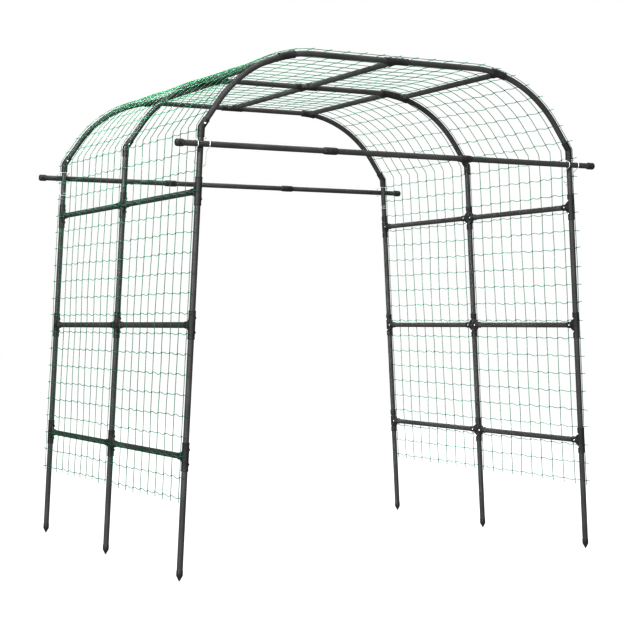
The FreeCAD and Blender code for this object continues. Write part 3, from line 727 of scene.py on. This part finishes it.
# ---- Climbing net -------------------------------------------------------------------------
# Knotted green cord in meshes of about 87 mm: long cords over the roof from side to side, rows
# along the tunnel and a small tight knot at every crossing. It lies on the sleeves and screw
# heads, so it stands clear of the tubes. Its left shoulder and the left of its roof are painted
# paler, a painted highlight where that side faces the lights.
NET_OUT = 0.0212
NET_LEFT = 0.346
NET_RIGHT = 0.320
COLUMNS = 21
MESH_Y = 0.0875
WALL_ROWS = 18
WALL_PITCH = 0.0857
ROOF_PITCH = 0.0872
CORD = 0.00125
KNOT = 0.0029
KNOT_SHAPE = (0.7, 1.1, 1.0)
KNOT_VARIES = 0.2
FREE_END = 0.029
TASSEL = 0.021
CURVE_STEPS = 32
OVER_STEPS = 4
ROW_STEPS = 6
# How unevenly it hangs: the whole surface in and out and down on the roof, patches of knots
# along the tunnel and over the roof, each knot, each free end, and each stretch of cord.
WANDER = 0.007
ROOF_SAG = 0.004
DRIFT = 0.005
TUG = 0.004
KNOT_ASTRAY = 0.0022
END_ASTRAY = 0.004
END_BENT = 0.005
OVER_BOW = 0.0016
ROW_WAVE = 0.0030
ROW_WAVE_VARIES = 0.0014
ROW_DROOP = 0.0022


def net_side(hand, bottom):
    """Corner points of the net's line from one foot to the ridge end of that curve."""
    facing = (math.pi / 2 - LEAN + SLOPE) / 2
    reach = NET_OUT / math.cos((math.pi / 2 - LEAN - SLOPE) / 2)
    foot_x = FOOT_X + NET_OUT / math.cos(LEAN) - (bottom - FOOT_Z) * math.tan(LEAN)
    points = [Vector((hand * foot_x, 0, bottom)),
              Vector((hand * (ELBOW_X + reach * math.sin(facing)), 0,
                      ELBOW_Z + reach * math.cos(facing)))]
    radius = CURVE_RADIUS + NET_OUT
    for step in range(CURVE_STEPS + 1):
        angle = SLOPE * (1 - step / CURVE_STEPS)
        points.append(Vector((hand * (CURVE_X + radius * math.sin(angle)), 0,
                              ROOF_Z - CURVE_RADIUS + radius * math.cos(angle))))
    return points


line = net_side(-1, NET_LEFT) + net_side(1, NET_RIGHT)[::-1]
marks = [0.0]
for first, second in zip(line, line[1:]):
    marks.append(marks[-1] + (second - first).length)


def on_line(distance):
    """Point, outward direction and running direction at a distance along the net's line."""
    number = 0
    while number < len(line) - 2 and distance > marks[number + 1]:
        number += 1
    along = (line[number + 1] - line[number]).normalized()
    return line[number] + along * (distance - marks[number]), Vector((-along.z, 0, along.x)), along


def chance(*seeds):
    """Steady pseudo-random number from -1 to 1 for three whole numbers."""
    place = Vector([17.31 * seed + 0.37 for seed in seeds])
    return max(-1.0, min(1.0, 1.9 * noise.noise(place)))


def patch(distance, y, lumps, seed):
    """Smooth random number over the net, with this many lumps to the metre."""
    return noise.noise(Vector((distance * lumps, y * lumps, seed)))


roof_from = WALL_ROWS * WALL_PITCH
roof_to = marks[-1] - WALL_ROWS * WALL_PITCH
roof_rows = round((roof_to - roof_from) / ROOF_PITCH)
row_marks = [row * WALL_PITCH for row in range(WALL_ROWS)]
row_marks += [roof_from + (roof_to - roof_from) * row / roof_rows for row in range(roof_rows)]
row_marks += [roof_to + row * WALL_PITCH for row in range(WALL_ROWS + 1)]
column_ys = [MESH_Y * (n - (COLUMNS - 1) / 2) for n in range(COLUMNS)]


def slack(y):
    """0 at a rib, rising to 1 four meshes away from it."""
    return min(min(abs(y - rib) for rib in RIB_Y.values()) / (MESH_Y * 4), 1.0)


def net_point(distance, y):
    """Place of the net's surface: it is held on the ribs, and hangs unevenly between them."""
    point, outward, _ = on_line(distance)
    wander = WANDER * patch(distance, y, 2.7, 7.7)
    hang = slack(y) * (wander - ROOF_SAG * max(outward.z, 0.0))
    return point + outward * hang + Vector((0, y, 0))


# Knots, as (distance along the line, y): each pulled a little out of the square.
knots_at = []
for row, mark in enumerate(row_marks):
    places = []
    for column, y in enumerate(column_ys):
        drift = DRIFT * patch(mark, y, 2.2, 3.1)
        tug = TUG * patch(mark, y, 1.6, 41.7)
        places.append((mark + tug + KNOT_ASTRAY * chance(row, column, 5),
                       y + drift + KNOT_ASTRAY * chance(row, column, 9)))
    knots_at.append(places)


def cords(name, paths, material):
    """Round cords along paths, as one piece that stands for the CAD's slab."""
    data = bpy.data.curves.new(name, "CURVE")
    data.dimensions = "3D"
    data.bevel_depth = CORD
    data.bevel_resolution = 1
    data.use_fill_caps = True
    for path_points in paths:
        spline = data.splines.new("POLY")
        spline.points.add(len(path_points) - 1)
        for point, place in zip(spline.points, path_points):
            point.co = (*place, 1)
    piece = bpy.data.objects.new(name, data)
    scene.collection.objects.link(piece)
    alone(piece)
    bpy.ops.object.convert(target="MESH")
    hang_net(bpy.context.object, material)


def hang_net(piece, material):
    """Shading, material and body of a piece of the net, and the CAD's netting hidden."""
    alone(piece)
    bpy.ops.object.shade_smooth()
    piece.data.materials.clear()
    piece.data.materials.append(material)
    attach(piece, "root")
    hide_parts("netting")


def cord_material(name, dark, light, painted_lit_dark, painted_lit_light):
    """Twisted polymer cord: patchy colour, a soft sheen, a fibre grain and painted highlight, paler
    on the upper left.
    """
    cord = Recipe(name)
    spread = cord.grain(14.0, 3.0, 0.6)
    fibre = cord.grain(1400.0, 2.0, 0.6)
    deep = cord.ramp(spread, [(0.3, dark), (0.7, light)])
    # Painted highlight: paler colours for the side of the net that faces the lights on the left.
    painted_lit = cord.ramp(spread, [(0.3, painted_lit_dark), (0.7, painted_lit_light)])
    # The painted highlight grows towards the left and from the shoulder up.
    painted_lit_left = cord.blend(cord.reach("X", -0.15, -0.55), deep, painted_lit)
    cord.wire(cord.blend(cord.reach("Z", 1.92, 2.16), deep, painted_lit_left),
              cord.shader.inputs["Base Color"])
    cord.wire(cord.level(fibre, 0.5, 0.7), cord.shader.inputs["Roughness"])
    cord.shader.inputs["Specular IOR Level"].default_value = 0.25
    cord.bump([(fibre, 0.0002)])
    return cord.material


# In each cord the last two colours are the painted highlight of the lit left shoulder.
over_cord = cord_material("cord over the roof", (0.018, 0.110, 0.062), (0.044, 0.200, 0.124),
                          (0.060, 0.205, 0.115), (0.105, 0.310, 0.185))
row_cord = cord_material("cord along the tunnel", (0.020, 0.180, 0.094), (0.046, 0.320, 0.182),
                         (0.070, 0.265, 0.145), (0.120, 0.390, 0.230))
knot_cord = cord_material("knots", (0.006, 0.042, 0.024), (0.012, 0.075, 0.044),
                          (0.020, 0.110, 0.060), (0.040, 0.170, 0.100))

over_paths = []
for column in range(COLUMNS):
    points = []
    for row in range(len(row_marks) - 1):
        (s_0, y_0), (s_1, y_1) = knots_at[row][column], knots_at[row + 1][column]
        bow = OVER_BOW * chance(row, column, 13)
        for step in range(OVER_STEPS):
            t = step / OVER_STEPS
            points.append(net_point(s_0 + (s_1 - s_0) * t,
                                    y_0 + (y_1 - y_0) * t + bow * math.sin(math.pi * t)))
    s_last, y_last = knots_at[-1][column]
    points.append(net_point(s_last, y_last))
    for end, (s, y) in ((0, knots_at[0][column]), (len(points) + 1, (s_last, y_last))):
        away = -TASSEL if end == 0 else TASSEL
        points.insert(end, net_point(s + away, y + END_ASTRAY * chance(column, end, 1)))
    over_paths.append(points)
cords("net_cords_over_roof", over_paths, over_cord)

row_paths = []
for row, places in enumerate(knots_at):
    points = []
    _, _, along = on_line(row_marks[row])
    down = 1 if along.z < 0 else -1
    for column in range(COLUMNS - 1):
        (s_0, y_0), (s_1, y_1) = places[column], places[column + 1]
        wave = ROW_WAVE + ROW_WAVE_VARIES * chance(row, column, 21)
        droop = ROW_DROOP + ROW_DROOP * chance(row, column, 27)
        for step in range(ROW_STEPS):
            t = step / ROW_STEPS
            s_t = s_0 + (s_1 - s_0) * t + down * (droop * math.sin(math.pi * t)
                                                  + wave * math.sin(2 * math.pi * t))
            points.append(net_point(s_t, y_0 + (y_1 - y_0) * t))
    points.append(net_point(*places[-1]))
    for end, (s, y), sign in ((0, places[0], -1), (len(points) + 1, places[-1], 1)):
        reach = FREE_END + END_ASTRAY * chance(row, sign + 2, 2)
        points.insert(end, net_point(s + END_BENT * chance(row, sign + 2, 6), y + sign * reach))
    row_paths.append(points)
cords("net_rows_along_tunnel", row_paths, row_cord)

bpy.ops.object.select_all(action="DESELECT")
bpy.ops.mesh.primitive_uv_sphere_add(segments=8, ring_count=6, radius=1.0)
knot = bpy.context.object
knot.data.transform(Matrix.Diagonal((*KNOT_SHAPE, 1)))
vertices = []
polygons = []
for row, places in enumerate(knots_at):
    for column, (s, y) in enumerate(places):
        _, outward, along = on_line(s)
        size = KNOT * (1 + KNOT_VARIES * chance(row, column, 3))
        turn = stand((0, 0, 0), outward, along).to_3x3() * size
        centre = net_point(s, y)
        base = len(vertices)
        vertices += [centre + turn @ corner.co for corner in knot.data.vertices]
        polygons += [[base + index for index in face.vertices] for face in knot.data.polygons]
bpy.data.objects.remove(knot)
knot_mesh = bpy.data.meshes.new("net_knots")
knot_mesh.from_pydata(vertices, [], polygons)
knots = bpy.data.objects.new("net_knots", knot_mesh)
scene.collection.objects.link(knots)
hang_net(knots, knot_cord)


# ---- Clear the bench ----------------------------------------------------------------------
# The patterns were only for copying.
for pattern in (tee, cross, elbow, knee, sleeve, cap, stake, screw):
    bpy.data.objects.remove(pattern)
